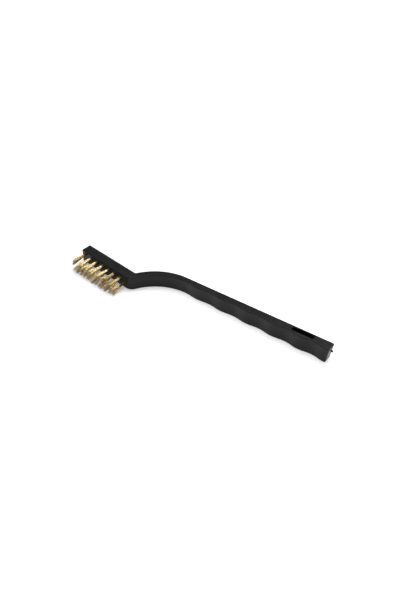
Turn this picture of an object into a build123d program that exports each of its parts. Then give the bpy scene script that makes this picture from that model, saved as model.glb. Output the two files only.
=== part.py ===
from build123d import *
from math import cos, radians, sin, sqrt, tan
import os

os.makedirs("parts", exist_ok=True)

# A tip cleaning brush: one moulded plastic handle that carries two staggered rows of brass
# wire tufts. It lies on its side. +X runs along the grip to the butt, +Y to the brush's
# straight back and +Z up through its width, so the wires point to -Y. Millimetres.

# ---- Driving dimensions -------------------------------------------------------------------

# Width between the two side faces. The handle is a slight wedge, and it lies on one of these
# faces, so the whole taper shows on the upper one.
butt_width = 11.3
tip_width = 9.0

# Grip. Thicknesses are measured from its straight back to its waved belly.
grip_length = 106.4  # butt face to where the back bends into the neck
wave_count = 6  # grooves, and as many crests
first_groove_from_bend = 1.5
last_crest_from_butt = 2.6
neck_groove_thickness = 3.75
butt_groove_thickness = 5.5
neck_crest_thickness = 4.65
butt_crest_thickness = 6.8
butt_lean = 10.0  # degrees, so the lower side face ends short of the upper one

# Neck: a curved strip between two arcs, each tangent to the grip
neck_back_radius = 36.0
neck_turn = 54.6  # degrees that the back turns through before the head
neck_inset = 2.4  # how much tighter the belly's arc is than the back's

# Head: a straight bar whose tip rises towards the line of the back
head_length = 43.7  # along its back, from the notch at the neck to the tip
head_thickness = 7.0
head_tilt = 7.9  # degrees
heel_radius = 5.5
notch_radius = 0.5
tip_radius = 0.6

# Edges all round the two side faces, and the corners between the butt face and the back and belly
edge_radius = 0.5
butt_corner_radius = 1.0

# Hang slot, through the width. Its walls are measured at the groove nearest the butt.
slot_length = 15.0
slot_from_butt = 12.4
slot_back_wall = 1.0
slot_belly_wall = 1.4
slot_corner_radius = 0.8
slot_rim_radius = 0.2

# Gate stub, left on the butt face where the moulding was cut from its runner
gate_diameter = 1.3
gate_length = 0.9
gate_from_back = 1.1
gate_height = 5.6  # above the lower side face

# Tuft holes, blind, in the head's wire side. The lower row is half a pitch nearer the neck.
tufts_per_row = 7
row_spacing = 3.4
tip_to_first_tuft = 3.1
last_tuft_to_heel = 5.55
hole_diameter = 1.5
hole_floor = 2.5  # plastic left behind each hole

# Tufts: wires folded under an anchor and driven into the hole with it
bristle_length = 10.8  # from the head's wire side to the trimmed ends
tuft_clearance = 0.03  # round the folded wires in the hole
tuft_tip_diameter = 3.2  # the wires spread towards their ends
fold_thickness = 0.8  # wires under the anchor
fold_radius = 0.4

# Anchors: short pieces of flat wire that bite into the plastic on both sides of each hole
anchor_thickness = 0.35
anchor_height = 1.3
anchor_bite = 0.3  # into the plastic at each end
anchor_clearance = 0.02  # to the wires folded round it

# ---- Outline, from the butt's back corner --------------------------------------------------

tilt = radians(head_tilt)
to_neck = Vector(cos(tilt), -sin(tilt))  # along the head
to_wires = Vector(-sin(tilt), -cos(tilt))  # square to the head's wire side

turn = radians(neck_turn)
notch = Vector(
    -grip_length - neck_back_radius * sin(turn), -neck_back_radius * (1 - cos(turn))
)
tip_back = notch - to_neck * head_length
tip_front = tip_back + to_wires * head_thickness
overall_length = -tip_front.X

first_groove = first_groove_from_bend - grip_length
wave_pitch = (-last_crest_from_butt - first_groove) / (wave_count - 0.5)


def wave_point(step, from_neck, neck_thickness, butt_thickness):
    """A groove's or a crest's middle, on a line of steadily growing thickness."""
    growth = (butt_thickness - neck_thickness) * step / (wave_count - 1)
    return Vector(first_groove + from_neck, -neck_thickness - growth)


grooves = [
    wave_point(step, wave_pitch * step, neck_groove_thickness, butt_groove_thickness)
    for step in range(wave_count)
]
crests = [
    wave_point(step, wave_pitch * (step + 0.5), neck_crest_thickness, butt_crest_thickness)
    for step in range(wave_count)
]
butt_belly = Vector(0, crests[-1].Y)

# Heel: where the line of the wire side meets the neck's belly arc
neck_belly_radius = neck_back_radius - neck_inset
belly_centre = grooves[0] - Vector(0, neck_belly_radius)
reach = belly_centre - tip_front
wire_side_length = reach.dot(to_neck) - sqrt(
    neck_belly_radius**2 - reach.dot(to_wires) ** 2
)
heel = tip_front + to_neck * wire_side_length

# ---- Places of the tufts -------------------------------------------------------------------

# Distance from the tip of each tuft, by its row's letter and its number from the tip
tuft_pitch = (wire_side_length - tip_to_first_tuft - last_tuft_to_heel) / (tufts_per_row - 0.5)
row_setbacks = {"a": tip_to_first_tuft, "b": tip_to_first_tuft + tuft_pitch / 2}
setbacks = {
    f"{row}{number + 1}": setback + tuft_pitch * number
    for row, setback in row_setbacks.items()
    for number in range(tufts_per_row)
}

# The origin is under the middle of the brush, on the surface that it lies on
deepest = (
    tip_front
    + to_neck * (max(setbacks.values()) + tuft_tip_diameter / 2)
    + to_wires * bristle_length
)
butt_corner = Vector(overall_length / 2, -deepest.Y / 2, 0)
side_plane = Plane(origin=butt_corner)
width_slope = (butt_width - tip_width) / overall_length
upper_corner = butt_corner + Vector(0, 0, butt_width)
upper_side = Plane(origin=upper_corner, z_dir=(-width_slope, 0, 1))
butt_face = Plane(
    origin=upper_corner, z_dir=(cos(radians(butt_lean)), 0, -sin(radians(butt_lean)))
)

# Mouth of each tuft hole: z axis out along the wires, x axis along the head
head_mid_height = (tip_width + width_slope * head_length / 2) / 2
row_heights = {
    "a": head_mid_height + row_spacing / 2,
    "b": head_mid_height - row_spacing / 2,
}
mouths = {
    place: Plane(
        origin=butt_corner + tip_front + to_neck * setback + Vector(0, 0, row_heights[place[0]]),
        x_dir=to_neck,
        z_dir=to_wires,
    )
    for place, setback in setbacks.items()
}
hole_depth = head_thickness - hole_floor
anchor_length = hole_diameter + 2 * anchor_bite
anchor_level = fold_thickness - hole_depth  # the anchors' lower edge, from the mouth

# ---- Handle: grip, neck and head in one moulding -------------------------------------------

with BuildPart() as handle:
    with BuildSketch(side_plane) as outline:
        with BuildLine():
            back = Line((0, 0), (-grip_length, 0))
            TangentArc(back @ 1, notch, tangent=back % 1)
            Line(notch, tip_back)
            Line(tip_back, tip_front)
            Line(tip_front, heel)
            TangentArc(grooves[0], heel, tangent=(-1, 0))
            for groove, crest in zip(grooves, crests):
                rise = TangentArc(groove, (groove + crest) / 2, tangent=(1, 0))
                TangentArc(rise @ 1, crest, tangent=rise % 1)
            for crest, groove in zip(crests, grooves[1:]):
                fall = TangentArc(crest, (crest + groove) / 2, tangent=(1, 0))
                TangentArc(fall @ 1, groove, tangent=fall % 1)
            Line(crests[-1], butt_belly)
            Line(butt_belly, (0, 0))
        make_face()
        for corner, radius in (
            (notch, notch_radius),
            (heel, heel_radius),
            (tip_back, tip_radius),
            (tip_front, tip_radius),
        ):
            fillet(outline.vertices().sort_by_distance(corner)[0], radius=radius)
    extrude(amount=butt_width)
    split(bisect_by=upper_side, keep=Keep.BOTTOM)
    split(bisect_by=butt_face, keep=Keep.BOTTOM)
    butt_edges = handle.faces().sort_by(Axis.X)[-1].edges()
    fillet(butt_edges.filter_by(Axis.Y, reverse=True), radius=butt_corner_radius)
    side_faces = handle.faces().sort_by(Axis.Z)
    fillet(side_faces[0].edges() + side_faces[-1].edges(), radius=edge_radius)

    # Hang slot, with its rims rounded as far as the thin back wall allows
    slot_width = butt_groove_thickness - slot_back_wall - slot_belly_wall
    with BuildSketch(side_plane):
        with Locations((-slot_from_butt, -slot_back_wall)):
            RectangleRounded(
                slot_length, slot_width, slot_corner_radius, align=(Align.MAX, Align.MAX)
            )
    extrude(amount=butt_width, mode=Mode.SUBTRACT)
    slot_rims = [
        edge
        for face in handle.faces()
        for rim in face.inner_wires()
        for edge in rim.edges()
    ]
    wall_limit = (slot_back_wall - edge_radius) * 0.8
    fillet(slot_rims, radius=min(slot_rim_radius, wall_limit))

    # Gate stub
    gate_setback = (butt_width - gate_height) * tan(radians(butt_lean))
    gate_place = butt_corner + Vector(-gate_setback, -gate_from_back, gate_height)
    with BuildSketch(Plane(origin=gate_place, z_dir=butt_face.z_dir)):
        Circle(gate_diameter / 2)
    extrude(amount=gate_length)

    # Tuft holes, and the pockets that the anchors' ends bite
    with Locations(*mouths.values()):
        Hole(radius=hole_diameter / 2, depth=hole_depth)
    for mouth in mouths.values():
        with BuildSketch(mouth.offset(anchor_level)):
            Rectangle(anchor_length, anchor_thickness)
        extrude(amount=anchor_height, mode=Mode.SUBTRACT)

handle.part.label = "handle"
export_step(handle.part, "parts/handle.step")

# ---- Anchors, one across each hole ---------------------------------------------------------

for place, mouth in mouths.items():
    with BuildPart() as anchor:
        with BuildSketch(mouth.offset(anchor_level)):
            Rectangle(anchor_length, anchor_thickness)
        extrude(amount=anchor_height)
    anchor.part.label = f"anchor_{place}"
    export_step(anchor.part, f"parts/anchor_{place}.step")

# ---- Tufts, folded under the anchors and spreading from the holes to the trimmed ends ------

tuft_radius = hole_diameter / 2 - tuft_clearance
for place, mouth in mouths.items():
    with BuildPart() as tuft:
        with BuildSketch(mouth.offset(-hole_depth)):
            Circle(tuft_radius)
        extrude(amount=hole_depth)
        fold_edge = tuft.edges().sort_by_distance(mouth.origin)[-1]
        fillet(fold_edge, radius=fold_radius)
        with BuildSketch(mouth):
            Circle(tuft_radius)
        with BuildSketch(mouth.offset(bristle_length)):
            Circle(tuft_tip_diameter / 2)
        loft()
        with BuildSketch(mouth.offset(anchor_level)):
            Rectangle(hole_diameter, anchor_thickness + 2 * anchor_clearance)
        extrude(amount=anchor_height + anchor_clearance, mode=Mode.SUBTRACT)
    tuft.part.label = f"tuft_{place}"
    export_step(tuft.part, f"parts/tuft_{place}.step")

print(f"{len(mouths)} tufts at a pitch of {tuft_pitch:.2f} mm, overall length {overall_length:.2f} mm")
print(f"butt corner {butt_corner}, slot width {slot_width:.2f} mm, notch {notch}, heel {heel}")
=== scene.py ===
import math
import random

import bpy
from mathutils import Matrix, Vector


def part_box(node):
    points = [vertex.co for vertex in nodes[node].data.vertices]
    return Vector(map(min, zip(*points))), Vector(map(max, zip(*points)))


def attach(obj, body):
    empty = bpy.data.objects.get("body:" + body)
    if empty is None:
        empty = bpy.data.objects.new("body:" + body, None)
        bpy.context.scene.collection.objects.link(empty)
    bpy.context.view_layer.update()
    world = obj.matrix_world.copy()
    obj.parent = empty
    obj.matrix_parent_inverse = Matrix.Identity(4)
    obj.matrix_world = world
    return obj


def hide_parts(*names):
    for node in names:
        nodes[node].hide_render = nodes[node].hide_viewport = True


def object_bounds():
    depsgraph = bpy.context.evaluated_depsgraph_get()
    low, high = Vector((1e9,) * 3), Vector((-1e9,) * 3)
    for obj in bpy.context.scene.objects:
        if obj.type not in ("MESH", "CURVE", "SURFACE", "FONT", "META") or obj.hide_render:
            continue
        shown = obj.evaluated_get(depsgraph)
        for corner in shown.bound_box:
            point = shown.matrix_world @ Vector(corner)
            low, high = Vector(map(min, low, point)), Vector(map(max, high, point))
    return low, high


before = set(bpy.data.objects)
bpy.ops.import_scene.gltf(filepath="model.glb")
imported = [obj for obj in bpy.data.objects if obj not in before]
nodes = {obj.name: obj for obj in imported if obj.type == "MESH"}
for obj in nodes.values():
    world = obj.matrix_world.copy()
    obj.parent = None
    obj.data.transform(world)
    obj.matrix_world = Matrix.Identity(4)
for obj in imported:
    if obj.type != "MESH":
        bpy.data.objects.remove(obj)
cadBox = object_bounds()
mm = 0.001
print("frame loaded:", len(nodes), "nodes")


def selectOnly(*objects):
    bpy.ops.object.select_all(action="DESELECT")
    for one in objects:
        one.select_set(True)
    bpy.context.view_layer.objects.active = objects[0]


def centreOf(node):
    low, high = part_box(node)
    return (low + high) / 2


# ---- small helpers for the node trees

def addNode(tree, kind, inputs=None, **settings):
    made = tree.nodes.new(kind)
    for name, value in settings.items():
        setattr(made, name, value)
    for name, value in (inputs or {}).items():
        made.inputs[name].default_value = value
    return made


def newMaterial(name):
    material = bpy.data.materials.new(name)
    material.use_nodes = True
    tree = material.node_tree
    tree.nodes.clear()
    output = addNode(tree, "ShaderNodeOutputMaterial")
    shader = addNode(tree, "ShaderNodeBsdfPrincipled")
    tree.links.new(shader.outputs["BSDF"], output.inputs["Surface"])
    return material, tree, shader


def newGroup(name, inputs, outputs):
    tree = bpy.data.node_groups.new(name, "ShaderNodeTree")
    kind = "NodeSocketFloat"
    for label, value in inputs.items():
        socket = tree.interface.new_socket(name=label, in_out="INPUT", socket_type=kind)
        socket.default_value = value
    for label in outputs:
        tree.interface.new_socket(name=label, in_out="OUTPUT", socket_type=kind)
    return tree, addNode(tree, "NodeGroupInput"), addNode(tree, "NodeGroupOutput")


def placeGroup(tree, group, values=None):
    return addNode(tree, "ShaderNodeGroup", values, node_tree=group)


def spread(tree, source, low, high, newLow, newHigh):
    # clamped change of range
    made = addNode(tree, "ShaderNodeMapRange", {
        "From Min": low, "From Max": high, "To Min": newLow, "To Max": newHigh,
    })
    tree.links.new(source, made.inputs["Value"])
    return made.outputs["Result"]


def combine(tree, operation, first, second):
    made = addNode(tree, "ShaderNodeMath", operation=operation)
    for place, value in enumerate((first, second)):
        if isinstance(value, (int, float)):
            made.inputs[place].default_value = value
        else:
            tree.links.new(value, made.inputs[place])
    return made.outputs[0]


def mixColors(tree, factor, first, second):
    made = addNode(tree, "ShaderNodeMix", data_type="RGBA")
    tree.links.new(factor, made.inputs["Factor"])
    for place, value in ((6, first), (7, second)):
        if isinstance(value, tuple):
            made.inputs[place].default_value = value
        else:
            tree.links.new(value, made.inputs[place])
    return made.outputs[2]


def finishWith(obj, material):
    obj.data.materials.clear()
    obj.data.materials.append(material)


# ---- camera

cameraSetup = {
    "at": Vector((245.4, -335.4, 372.0)) * mm,
    "target": Vector((-3.5, 12.56, 0)) * mm,
    "lens": 54.0,
    "clip": (0.01, 20),  # metres
}


def addCamera():
    bpy.ops.object.camera_add(location=cameraSetup["at"])
    camera = bpy.context.object
    camera.name = "camera"
    lookAlong = cameraSetup["target"] - cameraSetup["at"]
    camera.rotation_euler = lookAlong.to_track_quat("-Z", "Y").to_euler()
    camera.data.lens = cameraSetup["lens"]
    camera.data.clip_start, camera.data.clip_end = cameraSetup["clip"]
    bpy.context.scene.camera = camera


# ---- floor, grey tent and lights

studio = {
    "floorRadius": 6.0,
    "floorSides": 96,
    "floorDrop": 0.03 * mm,
    "floorColor": (0.9, 0.9, 0.9, 1),
    # what the camera and reflections see added to the lit floor
    # less is added round the tufts: a painted shadow on the floor under and beside the bristles
    "paintedShadowLift": 0.25,
    "paintedShadowReach": (0.022, 0.060),  # metres from the middle of the tufts
    "floorLift": 0.42,
    "farLift": 1.0,
    "liftGrows": (0.25, 1.4),  # metres from the middle of the floor
    "tentRadius": 0.95,
    "tentSides": 64,
    "tentHeight": 0.95,
    "tentGlow": (0.02, 0.46),  # at its foot and at its top
    "lamps": {  # place, size and power
        "softbox": ((-0.16, 0.25, 1.06), 0.7, 3.8),
        "backLamp": ((0.12, 0.62, 0.82), 0.34, 3.8),
    },
    "roomGlow": 0.95,  # what the room lights with
    "paleGlow": 1.0,  # what is seen of it
}


def seenByEye(tree):
    # 1 where the camera, a reflection or a clear surface looks, else 0
    path = addNode(tree, "ShaderNodeLightPath")
    mirrored = combine(
        tree, "MAXIMUM", path.outputs["Is Glossy Ray"], path.outputs["Is Transmission Ray"]
    )
    return combine(tree, "MAXIMUM", path.outputs["Is Camera Ray"], mirrored)


def floorMaterial():
    material, tree, shader = newMaterial("floorWhite")
    shader.inputs["Base Color"].default_value = studio["floorColor"]
    shader.inputs["Roughness"].default_value = 1.0
    shader.inputs["Specular IOR Level"].default_value = 0.0
    place = addNode(tree, "ShaderNodeTexCoord")
    distance = addNode(tree, "ShaderNodeVectorMath", operation="LENGTH")
    tree.links.new(place.outputs["Object"], distance.inputs[0])
    near, far = studio["liftGrows"]
    growth = spread(
        tree, distance.outputs["Value"], near, far, 0, studio["farLift"] - studio["floorLift"]
    )
    # painted shadow: the lift falls near the middle of the tufts, so the floor there reads darker
    tufts = centreOf("tuft_a4")
    beside = addNode(tree, "ShaderNodeVectorMath", operation="DISTANCE")
    tree.links.new(place.outputs["Object"], beside.inputs[0])
    beside.inputs[1].default_value = (tufts.x, tufts.y, 0)
    near, far = studio["paintedShadowReach"]
    shadowedLift = spread(
        tree, beside.outputs["Value"], near, far, studio["paintedShadowLift"], studio["floorLift"]
    )
    lift = combine(tree, "ADD", shadowedLift, growth)
    shader.inputs["Emission Color"].default_value = (1, 1, 1, 1)
    glow = combine(tree, "MULTIPLY", seenByEye(tree), lift)
    tree.links.new(glow, shader.inputs["Emission Strength"])
    return material


def tentMaterial():
    material, tree, shader = newMaterial("tentGrey")
    shader.inputs["Base Color"].default_value = (0, 0, 0, 1)
    shader.inputs["Specular IOR Level"].default_value = 0.0
    shader.inputs["Emission Color"].default_value = (1, 1, 1, 1)
    place = addNode(tree, "ShaderNodeTexCoord")
    parts = addNode(tree, "ShaderNodeSeparateXYZ")
    tree.links.new(place.outputs["Object"], parts.inputs[0])
    half = studio["tentHeight"] / 2
    glow = spread(tree, parts.outputs["Z"], -half, half, *studio["tentGlow"])
    tree.links.new(glow, shader.inputs["Emission Strength"])
    return material


def addStudio():
    bpy.ops.mesh.primitive_circle_add(
        vertices=studio["floorSides"], radius=studio["floorRadius"], fill_type="NGON",
        location=(0, 0, -studio["floorDrop"]),
    )
    floor = bpy.context.object
    floor.name = "floor"
    finishWith(floor, floorMaterial())

    # a ring of grey cloth round the table, left out of the camera's sight
    bpy.ops.mesh.primitive_cylinder_add(
        vertices=studio["tentSides"], radius=studio["tentRadius"], depth=studio["tentHeight"],
        end_fill_type="NOTHING", location=(0, 0, studio["tentHeight"] / 2),
    )
    tent = bpy.context.object
    tent.name = "tent"
    tent.visible_camera = False
    tent.visible_shadow = False
    finishWith(tent, tentMaterial())

    for name, (place, size, power) in studio["lamps"].items():
        bpy.ops.object.light_add(type="AREA", location=place)
        lamp = bpy.context.object
        lamp.name = name
        lamp.data.shape = "SQUARE"
        lamp.data.size = size
        lamp.data.energy = power
        lamp.rotation_euler = (-Vector(place)).to_track_quat("-Z", "Y").to_euler()

    world = bpy.data.worlds.new("studioRoom")
    bpy.context.scene.world = world
    world.use_nodes = True
    tree = world.node_tree
    background = tree.nodes["Background"]
    background.inputs["Color"].default_value = (1, 1, 1, 1)
    glow = spread(tree, seenByEye(tree), 0, 1, studio["roomGlow"], studio["paleGlow"])
    tree.links.new(glow, background.inputs["Strength"])
    bpy.context.scene.view_settings.view_transform = "Standard"


addCamera()
addStudio()
print("camera and studio ready")


# ---- effects that several finishes share

effects = {
    "grainDetail": {"Fine Size": 2.0, "Broad Size": 3.0},
    "grainRoughness": 0.55,
    "bevelSamples": 6,
    "edgeTurn": (0.998, 0.90),  # from flat to fully worn
    "wearNoise": {"Detail": 4.0, "Roughness": 0.6},
    "wearPatches": (0.42, 0.62),
}


def grainGroup():
    # broad patches and fine grain in one height, both as wide as their size in millimetres
    tree, given, result = newGroup(
        "surfaceGrain",
        {"Fine Size": 0.2, "Broad Size": 6.0, "Broad Share": 0.5},
        ["Height", "Patches"],
    )
    place = addNode(tree, "ShaderNodeTexCoord")
    layers = {}
    for label, detail in effects["grainDetail"].items():
        scale = combine(tree, "DIVIDE", 1 / mm, given.outputs[label])
        noise = addNode(tree, "ShaderNodeTexNoise", {
            "Detail": detail, "Roughness": effects["grainRoughness"],
        })
        tree.links.new(place.outputs["Object"], noise.inputs["Vector"])
        tree.links.new(scale, noise.inputs["Scale"])
        layers[label] = noise.outputs["Fac"]
    broad = combine(tree, "MULTIPLY", layers["Broad Size"], given.outputs["Broad Share"])
    height = combine(tree, "ADD", layers["Fine Size"], broad)
    tree.links.new(height, result.inputs["Height"])
    tree.links.new(layers["Broad Size"], result.inputs["Patches"])
    return tree


def edgeWearGroup():
    # 1 on rounded and sharp edges, broken up by small patches
    tree, given, result = newGroup(
        "edgeWear", {"Radius": 0.3, "Amount": 1.0, "Patch Size": 1.5}, ["Mask"]
    )
    radius = combine(tree, "MULTIPLY", given.outputs["Radius"], mm)
    bevel = addNode(tree, "ShaderNodeBevel", samples=effects["bevelSamples"])
    tree.links.new(radius, bevel.inputs["Radius"])
    surface = addNode(tree, "ShaderNodeNewGeometry")
    turned = addNode(tree, "ShaderNodeVectorMath", operation="DOT_PRODUCT")
    tree.links.new(bevel.outputs["Normal"], turned.inputs[0])
    tree.links.new(surface.outputs["Normal"], turned.inputs[1])
    edge = spread(tree, turned.outputs["Value"], *effects["edgeTurn"], 0, 1)
    place = addNode(tree, "ShaderNodeTexCoord")
    noise = addNode(tree, "ShaderNodeTexNoise", effects["wearNoise"])
    tree.links.new(place.outputs["Object"], noise.inputs["Vector"])
    tree.links.new(
        combine(tree, "DIVIDE", 1 / mm, given.outputs["Patch Size"]), noise.inputs["Scale"]
    )
    patches = spread(tree, noise.outputs["Fac"], *effects["wearPatches"], 0, 1)
    broken = combine(tree, "MULTIPLY", edge, patches)
    mask = combine(tree, "MULTIPLY", broken, given.outputs["Amount"])
    tree.links.new(mask, result.inputs["Mask"])
    return tree


surfaceGrain = grainGroup()
edgeWear = edgeWearGroup()


# ---- handle

plastic = {
    "color": (0.0058, 0.0058, 0.0056, 1),
    "paleColor": (0.0085, 0.0085, 0.0080, 1),
    "wornColor": (0.030, 0.029, 0.028, 1),
    "dustColor": (0.10, 0.095, 0.09, 1),
    "specular": 0.18,
    "grain": {"Fine Size": 0.22, "Broad Size": 9.0, "Broad Share": 5.0},  # pits and sink marks
    "wear": {"Radius": 0.45, "Amount": 0.5, "Patch Size": 2.2},
    "grainHeight": 0.006 * mm,
    "paleWhere": (0.35, 0.65),
    "roughness": (0.27, 0.38),
    "roughWhere": (0.3, 0.7),
    "wornPolish": 0.08,
    # handling marks: short fine lines along the grip
    "scuffRun": {"Scale": (0.07, 1, 1), "Rotation": (0, 0, 0.06)},
    "scuffNoise": {"Scale": 2600.0, "Detail": 2.0},
    "scuffLines": (0.62, 0.74),
    "scuffWhere": (0.50, 0.68),
    "scuffColoring": 0.35,
    "scuffRoughness": 0.10,
    # specks of dust
    "dustCells": {"Scale": 650.0, "Randomness": 1.0},
    "speckSize": (0.05, 0.025),
    "speckChoice": (0.86, 0.9),
    "dustAmount": 0.7,
    "dustRoughness": 0.3,
    "dustHeight": 3.0,
}


def plasticMaterial():
    material, tree, shader = newMaterial("handlePlastic")
    shader.inputs["Specular IOR Level"].default_value = plastic["specular"]
    grain = placeGroup(tree, surfaceGrain, plastic["grain"])
    wear = placeGroup(tree, edgeWear, plastic["wear"])
    place = addNode(tree, "ShaderNodeTexCoord")

    stretch = addNode(tree, "ShaderNodeMapping", plastic["scuffRun"])
    tree.links.new(place.outputs["Object"], stretch.inputs["Vector"])
    lines = addNode(tree, "ShaderNodeTexNoise", plastic["scuffNoise"])
    tree.links.new(stretch.outputs["Vector"], lines.inputs["Vector"])
    scuffs = combine(
        tree, "MULTIPLY",
        spread(tree, lines.outputs["Fac"], *plastic["scuffLines"], 0, 1),
        spread(tree, grain.outputs["Patches"], *plastic["scuffWhere"], 0, 1),
    )

    # only a few of the cells hold a speck
    cells = addNode(tree, "ShaderNodeTexVoronoi", plastic["dustCells"])
    tree.links.new(place.outputs["Object"], cells.inputs["Vector"])
    speck = spread(tree, cells.outputs["Distance"], *plastic["speckSize"], 0, 1)
    chosen = addNode(tree, "ShaderNodeSeparateColor")
    tree.links.new(cells.outputs["Color"], chosen.inputs[0])
    shown = spread(
        tree, chosen.outputs["Red"], *plastic["speckChoice"], 0, plastic["dustAmount"]
    )
    dust = combine(tree, "MULTIPLY", speck, shown)

    base = mixColors(
        tree, spread(tree, grain.outputs["Patches"], *plastic["paleWhere"], 0, 1),
        plastic["color"], plastic["paleColor"],
    )
    base = mixColors(tree, wear.outputs["Mask"], base, plastic["wornColor"])
    scuffed = combine(tree, "MULTIPLY", scuffs, plastic["scuffColoring"])
    base = mixColors(tree, scuffed, base, plastic["wornColor"])
    base = mixColors(tree, dust, base, plastic["dustColor"])
    tree.links.new(base, shader.inputs["Base Color"])

    rough = spread(
        tree, grain.outputs["Patches"], *plastic["roughWhere"], *plastic["roughness"]
    )
    for operation, mask, amount in (
        ("SUBTRACT", wear.outputs["Mask"], plastic["wornPolish"]),
        ("ADD", dust, plastic["dustRoughness"]),
        ("ADD", scuffs, plastic["scuffRoughness"]),
    ):
        rough = combine(tree, operation, rough, combine(tree, "MULTIPLY", mask, amount))
    tree.links.new(rough, shader.inputs["Roughness"])

    bump = addNode(tree, "ShaderNodeBump", {"Strength": 1.0, "Distance": plastic["grainHeight"]})
    height = combine(tree, "SUBTRACT", grain.outputs["Height"], scuffs)
    height = combine(tree, "ADD", height, combine(tree, "MULTIPLY", dust, plastic["dustHeight"]))
    tree.links.new(height, bump.inputs["Height"])
    tree.links.new(bump.outputs["Normal"], shader.inputs["Normal"])
    return material


finishWith(nodes["handle"], plasticMaterial())
print("handle finished")


# ---- brass wires

brass = {
    "wireRadius": 0.072 * mm,
    "sides": 5,
    "length": {"a": 10.7 * mm, "b": 11.6 * mm},  # mouth of the hole to the trimmed end
    "lengthVaries": 0.22 * mm,
    "longest": 12.2 * mm,
    # how much wider a tuft is at its end than in its hole, and how far its ends hang: upper
    # row above and below its anchors, then the lower row
    "tipSpread": {"neat": 1.8, "under": 2.8, "b": 4.2},
    "droop": {"neat": 0.0, "under": 0.45 * mm, "b": 0.75 * mm},
    "clumpScatter": {"neat": 0.26 * mm, "under": 0.80 * mm, "b": 1.35 * mm},
    "wireScatter": {"neat": 0.12 * mm, "under": 0.16 * mm, "b": 0.16 * mm},
    # how worn each tuft is, from the tip
    "splay": {"a": (1.1, 0.8, 0.9, 1.0, 1.0, 1.0, 0.9), "b": (0.6, 0.9, 1.0, 1.0, 1.0, 1.1, 1.1)},
    # random tone range of the clumps in each row; the lower row's range is set darker, a painted
    # shade from the upper row above it
    "clumpTonesAndRowShade": {"a": (0.18, 1.0), "b": (0.0, 0.85)},
    "clumps": 3,  # side by side, over and under the anchor, inner and outer
    "clumpLengths": 0.40 * mm,
    "kink": 0.05 * mm,
    "pitch": 0.144 * mm,
    "rowGap": 0.125 * mm,
    "rows": (9, 8, 7, 4),  # folded wires side by side, from the anchor outwards
    "firstRow": 0.255 * mm,
    "foldShallow": 0.14 * mm,
    "foldDeep": 0.64 * mm,
    "legStations": (0.18, 0.38, 0.58, 0.8, 1.0),
    "seed": 41,
    "tones": (
        (0.0, (0.10, 0.045, 0.008)),
        (0.28, (0.36, 0.20, 0.045)),
        (0.52, (0.86, 0.61, 0.21)),
        (0.80, (0.98, 0.88, 0.56)),
    ),
    "leanShape": (0.72, 0.28),  # straight and bending shares of a wire's lean
    "clumpFlatness": 0.6,  # how far clumps scatter across the width, against along the head
    "shadeVaries": 0.09,
    "edgeMargin": 0.05 * mm,
    "grain": {"Fine Size": 0.08, "Broad Size": 1.6, "Broad Share": 0.4},
    "wear": {"Radius": 0.03, "Amount": 0.6, "Patch Size": 0.3},
    "wornColor": (0.90, 0.76, 0.45, 1),
    "tarnishWhere": (0.50, 0.72),
    "tarnishAmount": 0.40,
    "tarnishColor": (0.40, 0.28, 0.11, 1),
    # painted shade on the outer part of the wires, towards their ends
    "paintedEndShadeReach": (0.68, 0.98),  # share of the way out to the ends
    "paintedEndShadeAmount": 0.85,
    "paintedEndShadeWhere": (0.35, 0.6),
    "paintedEndShadeLeast": 0.25,
    "paintedEndShadeColor": (0.15, 0.09, 0.022, 1),
    "paintedEndShadeRoughness": 0.25,
    "roughness": (0.20, 0.36),
    "roughWhere": (0.3, 0.7),
    "drawnStretch": (1, 0.05, 1),
    "drawnNoise": {"Scale": 26000.0, "Detail": 1.0},
    "grainHeight": 0.0015 * mm,
}
anchorHeight = 1.3 * mm
anchorDepth = 3.7 * mm  # lower edge of the anchor, below the mouth

toNeck = (centreOf("anchor_a7") - centreOf("anchor_a1")).normalized()
toWires = Vector((toNeck.y, -toNeck.x, 0))
across = Vector((0, 0, 1))


def modelWire():
    # one straight length of wire along Z, with a ring at each station on both legs: 0 to 1 is
    # the fold, 2 the mouth of the hole and 3 the trimmed end
    reach = [0.0, 0.5, 1.0, 2.0]
    reach += [2.0 + station for station in brass["legStations"]]
    stations = [-value for value in reversed(reach[1:])] + reach
    selectOnly(nodes["handle"])
    bpy.ops.mesh.primitive_circle_add(
        vertices=brass["sides"], radius=1, fill_type="NGON", location=(0, 0, stations[0])
    )
    wire = bpy.context.object
    wire.name = "wire"
    bpy.ops.object.transform_apply()
    bpy.ops.object.mode_set(mode="EDIT")
    bpy.ops.mesh.select_all(action="SELECT")
    for before, after in zip(stations, stations[1:]):
        bpy.ops.mesh.extrude_region_move(
            TRANSFORM_OT_translate={"value": (0, 0, after - before)}
        )
    bpy.ops.mesh.select_all(action="SELECT")
    bpy.ops.mesh.normals_make_consistent(inside=False)
    bpy.ops.object.mode_set(mode="OBJECT")
    return wire


def wirePath(station, leg):
    # centre of a folded wire at a station, from its fold out along either leg
    side = 1 if station >= 0 else -1
    place = abs(station)
    toEnd = leg["ends"][side]
    if place <= 1:
        turn = place * math.pi / 2
        return Vector((
            leg["along"],
            side * leg["apart"] * math.sin(turn),
            -anchorDepth - leg["drop"] * math.cos(turn),
        ))
    if place <= 2:
        return Vector((leg["along"], side * leg["apart"], -anchorDepth * (2 - place)))
    out = place - 2
    straight, bending = brass["leanShape"]
    lean = straight * out + bending * out * out
    kinks = toEnd["kinks"].get(round(out, 3), (0, 0))
    return Vector((
        leg["along"] + toEnd["lean"][0] * lean + kinks[0],
        side * leg["apart"] + toEnd["lean"][1] * lean + kinks[1],
        toEnd["length"] * out,
    ))


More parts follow.
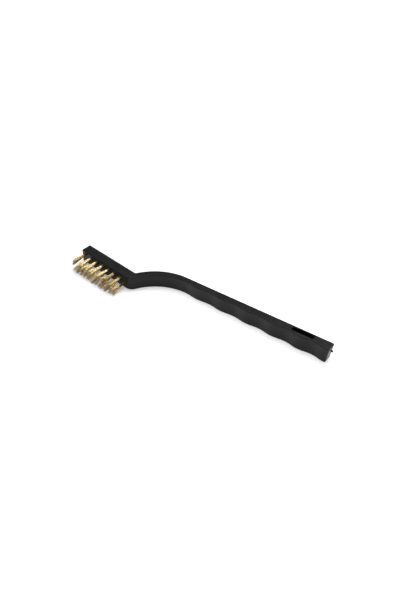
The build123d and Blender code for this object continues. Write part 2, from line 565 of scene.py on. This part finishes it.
def foldWire(wire, leg, mouth):
    # a copy of the straight wire, folded into its hole
    mesh = wire.data.copy()
    strand = mesh.attributes.new("strand", "FLOAT", "POINT")
    outward = mesh.attributes.new("outward", "FLOAT", "POINT")
    placed = {}
    for index, vertex in enumerate(mesh.vertices):
        station = round(vertex.co.z, 3)
        if station not in placed:
            here = wirePath(station, leg)
            step = 0.02 if abs(station) < 2 else 0.1
            top = 2 + brass["legStations"][-1]
            ahead = wirePath(min(station + step, top), {**leg, "ends": leg["straight"]})
            behind = wirePath(max(station - step, -top), {**leg, "ends": leg["straight"]})
            direction = (ahead - behind).normalized()
            sideways = Vector((1, 0, 0))
            placed[station] = (here, sideways, direction.cross(sideways).normalized())
        here, first, second = placed[station]
        offset = (first * vertex.co.x + second * vertex.co.y) * brass["wireRadius"]
        vertex.co = mouth @ (here + offset)
        strand.data[index].value = leg["ends"][1 if station >= 0 else -1]["shade"]
        outward.data[index].value = max(0.0, (abs(station) - 2) / brass["legStations"][-1])
    made = bpy.data.objects.new("strand", mesh)
    bpy.context.scene.collection.objects.link(made)
    return made


def clumpSetting(dice, row, habit):
    # wires that lie against each other lean and end alike
    scatter = brass["clumpScatter"][habit]
    return {
        "lean": (
            dice.gauss(0, 1) * scatter, dice.gauss(0, 1) * scatter * brass["clumpFlatness"]
        ),
        "length": dice.gauss(0, 1) * brass["clumpLengths"],
        # random tone within the row's range, which for the lower row holds painted shade
        "shade": dice.uniform(*brass["clumpTonesAndRowShade"][row]),
    }


def wireEnd(dice, along, offset, row, habit, splay, clump, mouth):
    scatter = brass["wireScatter"][habit]
    widening = (brass["tipSpread"][habit] - 1) * splay
    lean = [
        value * widening + (clumpLean + dice.gauss(0, 1) * scatter) * splay
        for value, clumpLean in zip((along, offset), clump["lean"])
    ]
    lean[1] -= brass["droop"][habit] * splay
    length = brass["length"][row] + clump["length"] + dice.gauss(0, 1) * brass["lengthVaries"]

    # every end stays over the table and inside the model's box
    end = mouth @ Vector((along + lean[0], offset + lean[1], length))
    margin = brass["wireRadius"] + brass["edgeMargin"]
    lean[0] += max(0.0, cadBox[0].x + margin - end.x)
    lean[1] += max(0.0, cadBox[0].z + margin - end.z)
    over = max(0.0, cadBox[0].y + margin - end.y)
    kinks = {
        round(station, 3): (dice.gauss(0, 1) * brass["kink"], dice.gauss(0, 1) * brass["kink"])
        for station in brass["legStations"][:-1]
    }
    return {
        "lean": lean,
        "length": min(length, brass["longest"]) - over / -toWires.y,
        "kinks": kinks,
        "shade": min(1.0, max(0.0, clump["shade"] + dice.gauss(0, 1) * brass["shadeVaries"])),
    }


def modelTuft(wire, place):
    anchor = centreOf("anchor_" + place)
    opening = anchor + toWires * (anchorDepth - anchorHeight / 2)
    mouth = Matrix.Translation(opening) @ Matrix((toNeck, across, toWires)).transposed().to_4x4()
    dice = random.Random(brass["seed"] + sum(ord(letter) * 17 for letter in place))
    habits = {1: "neat", -1: "under"} if place[0] == "a" else {1: "b", -1: "b"}
    clumps = {
        (column, side, outer): clumpSetting(dice, place[0], habits[side])
        for column in range(brass["clumps"])
        for side in (1, -1)
        for outer in (False, True)
    }
    splay = brass["splay"][place[0]][int(place[1]) - 1]
    strands = []
    for row, count in enumerate(brass["rows"]):
        apart = brass["firstRow"] + row * brass["rowGap"]
        share = row / (len(brass["rows"]) - 1)
        for number in range(count):
            along = (number - (count - 1) / 2) * brass["pitch"]
            column = number * brass["clumps"] // count
            leg = {
                "along": along,
                "apart": apart,
                "drop": brass["foldShallow"] + share * (brass["foldDeep"] - brass["foldShallow"]),
                "ends": {
                    side: wireEnd(
                        dice, along, side * apart, place[0], habits[side], splay,
                        clumps[column, side, row > 1], mouth,
                    )
                    for side in (1, -1)
                },
            }
            leg["straight"] = {
                side: {**end, "kinks": {}} for side, end in leg["ends"].items()
            }
            strands.append(foldWire(wire, leg, mouth))
    selectOnly(*strands)
    bpy.ops.object.join()
    tuft = bpy.context.object
    tuft.name = "wires_" + place
    tuft.data.name = tuft.name
    bpy.ops.object.shade_smooth_by_angle(angle=math.radians(60))
    return tuft


def brassMaterial():
    material, tree, shader = newMaterial("brassWire")
    shader.inputs["Metallic"].default_value = 1.0
    grain = placeGroup(tree, surfaceGrain, brass["grain"])
    wear = placeGroup(tree, edgeWear, brass["wear"])
    strand = addNode(tree, "ShaderNodeAttribute", attribute_name="strand")
    outward = addNode(tree, "ShaderNodeAttribute", attribute_name="outward")
    alloy = addNode(tree, "ShaderNodeValToRGB")
    tones = alloy.color_ramp
    first, *middle, last = brass["tones"]
    for stop, (point, color) in ((tones.elements[0], first), (tones.elements[-1], last)):
        stop.position = point
        stop.color = (*color, 1)
    for point, color in middle:
        tones.elements.new(point).color = (*color, 1)
    tree.links.new(strand.outputs["Fac"], alloy.inputs["Fac"])

    # tarnish in patches, and painted shade that darkens the wires towards their ends, broken up
    # in patches
    patches = grain.outputs["Patches"]
    tarnish = spread(tree, patches, *brass["tarnishWhere"], 0, brass["tarnishAmount"])
    paintedEndShade = combine(
        tree, "MULTIPLY",
        spread(tree, outward.outputs["Fac"], *brass["paintedEndShadeReach"], 0, brass["paintedEndShadeAmount"]),
        spread(tree, patches, *brass["paintedEndShadeWhere"], brass["paintedEndShadeLeast"], 1),
    )
    base = mixColors(tree, tarnish, alloy.outputs["Color"], brass["tarnishColor"])
    base = mixColors(tree, paintedEndShade, base, brass["paintedEndShadeColor"])
    base = mixColors(tree, wear.outputs["Mask"], base, brass["wornColor"])
    tree.links.new(base, shader.inputs["Base Color"])

    rough = spread(tree, patches, *brass["roughWhere"], *brass["roughness"])
    paintedEndShadeRough = combine(tree, "MULTIPLY", paintedEndShade, brass["paintedEndShadeRoughness"])
    tree.links.new(combine(tree, "ADD", rough, paintedEndShadeRough), shader.inputs["Roughness"])

    # drawing lines along the wires
    place = addNode(tree, "ShaderNodeTexCoord")
    tilt = math.atan2(toNeck.y, toNeck.x)
    drawn = addNode(tree, "ShaderNodeMapping", {
        "Rotation": (0, 0, -tilt), "Scale": brass["drawnStretch"],
    })
    tree.links.new(place.outputs["Object"], drawn.inputs["Vector"])
    lines = addNode(tree, "ShaderNodeTexNoise", brass["drawnNoise"])
    tree.links.new(drawn.outputs["Vector"], lines.inputs["Vector"])
    bump = addNode(tree, "ShaderNodeBump", {"Strength": 1.0, "Distance": brass["grainHeight"]})
    tree.links.new(
        combine(tree, "ADD", lines.outputs["Fac"], grain.outputs["Height"]), bump.inputs["Height"]
    )
    tree.links.new(bump.outputs["Normal"], shader.inputs["Normal"])
    return material


straightWire = modelWire()
brassFinish = brassMaterial()
for name in sorted(nodes):
    if name.startswith("tuft_"):
        tuft = modelTuft(straightWire, name.removeprefix("tuft_"))
        finishWith(tuft, brassFinish)
        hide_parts(name)
        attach(tuft, "root")
bpy.data.objects.remove(straightWire)
print("tufts folded and driven in")


# ---- anchors

steel = {
    "color": (0.56, 0.55, 0.53, 1),
    "darkColor": (0.30, 0.28, 0.26, 1),
    "brightColor": (0.78, 0.77, 0.75, 1),
    "grain": {"Fine Size": 0.05, "Broad Size": 0.6, "Broad Share": 0.3},
    "wear": {"Radius": 0.05, "Amount": 0.8, "Patch Size": 0.2},
    "darkWhere": (0.4, 0.7),
    "roughness": (0.28, 0.5),
    "roughWhere": (0.3, 0.7),
    "grainHeight": 0.002 * mm,
}


def steelMaterial():
    material, tree, shader = newMaterial("anchorSteel")
    shader.inputs["Metallic"].default_value = 1.0
    grain = placeGroup(tree, surfaceGrain, steel["grain"])
    wear = placeGroup(tree, edgeWear, steel["wear"])
    patches = grain.outputs["Patches"]
    base = mixColors(
        tree, spread(tree, patches, *steel["darkWhere"], 0, 1), steel["color"], steel["darkColor"]
    )
    base = mixColors(tree, wear.outputs["Mask"], base, steel["brightColor"])
    tree.links.new(base, shader.inputs["Base Color"])
    rough = spread(tree, patches, *steel["roughWhere"], *steel["roughness"])
    tree.links.new(rough, shader.inputs["Roughness"])
    bump = addNode(tree, "ShaderNodeBump", {"Strength": 1.0, "Distance": steel["grainHeight"]})
    tree.links.new(grain.outputs["Height"], bump.inputs["Height"])
    tree.links.new(bump.outputs["Normal"], shader.inputs["Normal"])
    return material


anchorFinish = steelMaterial()
for name, node in nodes.items():
    if name.startswith("anchor_"):
        finishWith(node, anchorFinish)
print("anchors finished")

print("scene ready")
